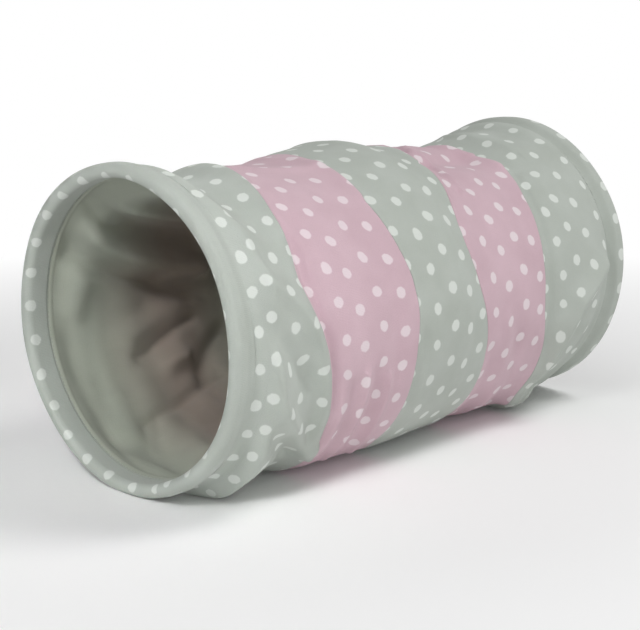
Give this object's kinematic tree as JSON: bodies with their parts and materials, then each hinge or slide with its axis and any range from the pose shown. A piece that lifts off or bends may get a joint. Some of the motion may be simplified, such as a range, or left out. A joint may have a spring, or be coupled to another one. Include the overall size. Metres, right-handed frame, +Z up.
{
  "type": "pet tunnel",
  "caption": "Soft cloth play tunnel for a cat or small pet, open at both mouths, held round by a sprung steel coil, folding flat along its length.",
  "frame": {"origin": "on the floor, midway between the two mouths, under the tunnel's axis", "axes": "+X along the tunnel's axis from the near mouth to the far one, +Z up"},
  "size_m": [0.473, 0.258, 0.2487],
  "materials": {
    "sage_cloth": "matt brushed knit with white dots",
    "pink_cloth": "matt brushed knit with white dots",
    "lining_cloth": "plain matt brushed knit",
    "thread": "spun polyester sewing thread",
    "spring_steel": "drawn spring wire"
  },
  "bodies": {
    "front_end": {"front_casing": "sage_cloth", "front_casing_join_stitch": "thread", "front_casing_to_band_stitch": "thread", "front_casing_to_lining_stitch": "thread", "front_sage_band": "sage_cloth", "front_sage_join_stitch": "thread", "lining": "lining_cloth", "lining_join_stitch": "thread", "coil_wire": "spring_steel", "front_wire_sleeve": "spring_steel"},
    "first_seam": {"front_sage_to_pink_stitch": "thread", "front_pink_band": "pink_cloth", "front_pink_join_stitch": "thread"},
    "second_seam": {"front_pink_to_middle_stitch": "thread", "middle_sage_band": "sage_cloth", "middle_sage_join_stitch": "thread"},
    "third_seam": {"middle_to_rear_pink_stitch": "thread", "rear_pink_band": "pink_cloth", "rear_pink_join_stitch": "thread"},
    "fourth_seam": {"rear_pink_to_sage_stitch": "thread", "rear_sage_band": "sage_cloth", "rear_sage_join_stitch": "thread"},
    "rear_end": {"rear_casing": "sage_cloth", "rear_casing_join_stitch": "thread", "rear_casing_to_band_stitch": "thread", "rear_casing_to_lining_stitch": "thread", "rear_wire_sleeve": "spring_steel"}
  },
  "joints": [
    {"name": "front_sage_fold", "type": "slide", "parent": "front_end", "child": "first_seam", "axis": [-1, 0, 0], "range_m": [0, 0.0699], "stiffness_N_per_m": 80, "deforming": ["front_sage_band", "front_sage_join_stitch", "front_sage_to_pink_stitch", "lining", "lining_join_stitch", "coil_wire"]},
    {"name": "front_pink_fold", "type": "slide", "parent": "first_seam", "child": "second_seam", "axis": [-1, 0, 0], "range_m": [0, 0.0865], "stiffness_N_per_m": 80, "deforming": ["front_pink_band", "front_pink_join_stitch", "front_pink_to_middle_stitch"]},
    {"name": "middle_sage_fold", "type": "slide", "parent": "second_seam", "child": "third_seam", "axis": [-1, 0, 0], "range_m": [0, 0.0782], "stiffness_N_per_m": 80, "deforming": ["middle_sage_band", "middle_sage_join_stitch", "middle_to_rear_pink_stitch"]},
    {"name": "rear_pink_fold", "type": "slide", "parent": "third_seam", "child": "fourth_seam", "axis": [-1, 0, 0], "range_m": [0, 0.0828], "stiffness_N_per_m": 80, "deforming": ["rear_pink_band", "rear_pink_join_stitch", "rear_pink_to_sage_stitch"]},
    {"name": "rear_sage_fold", "type": "slide", "parent": "fourth_seam", "child": "rear_end", "axis": [-1, 0, 0], "range_m": [0, 0.081], "stiffness_N_per_m": 80, "deforming": ["rear_sage_band", "rear_sage_join_stitch"]}
  ],
  "couplings": [
    {"joint": "front_pink_fold", "follows": "front_sage_fold", "ratio": 1.2368},
    {"joint": "middle_sage_fold", "follows": "front_sage_fold", "ratio": 1.1184},
    {"joint": "rear_pink_fold", "follows": "front_sage_fold", "ratio": 1.1842},
    {"joint": "rear_sage_fold", "follows": "front_sage_fold", "ratio": 1.1579}
  ]
}
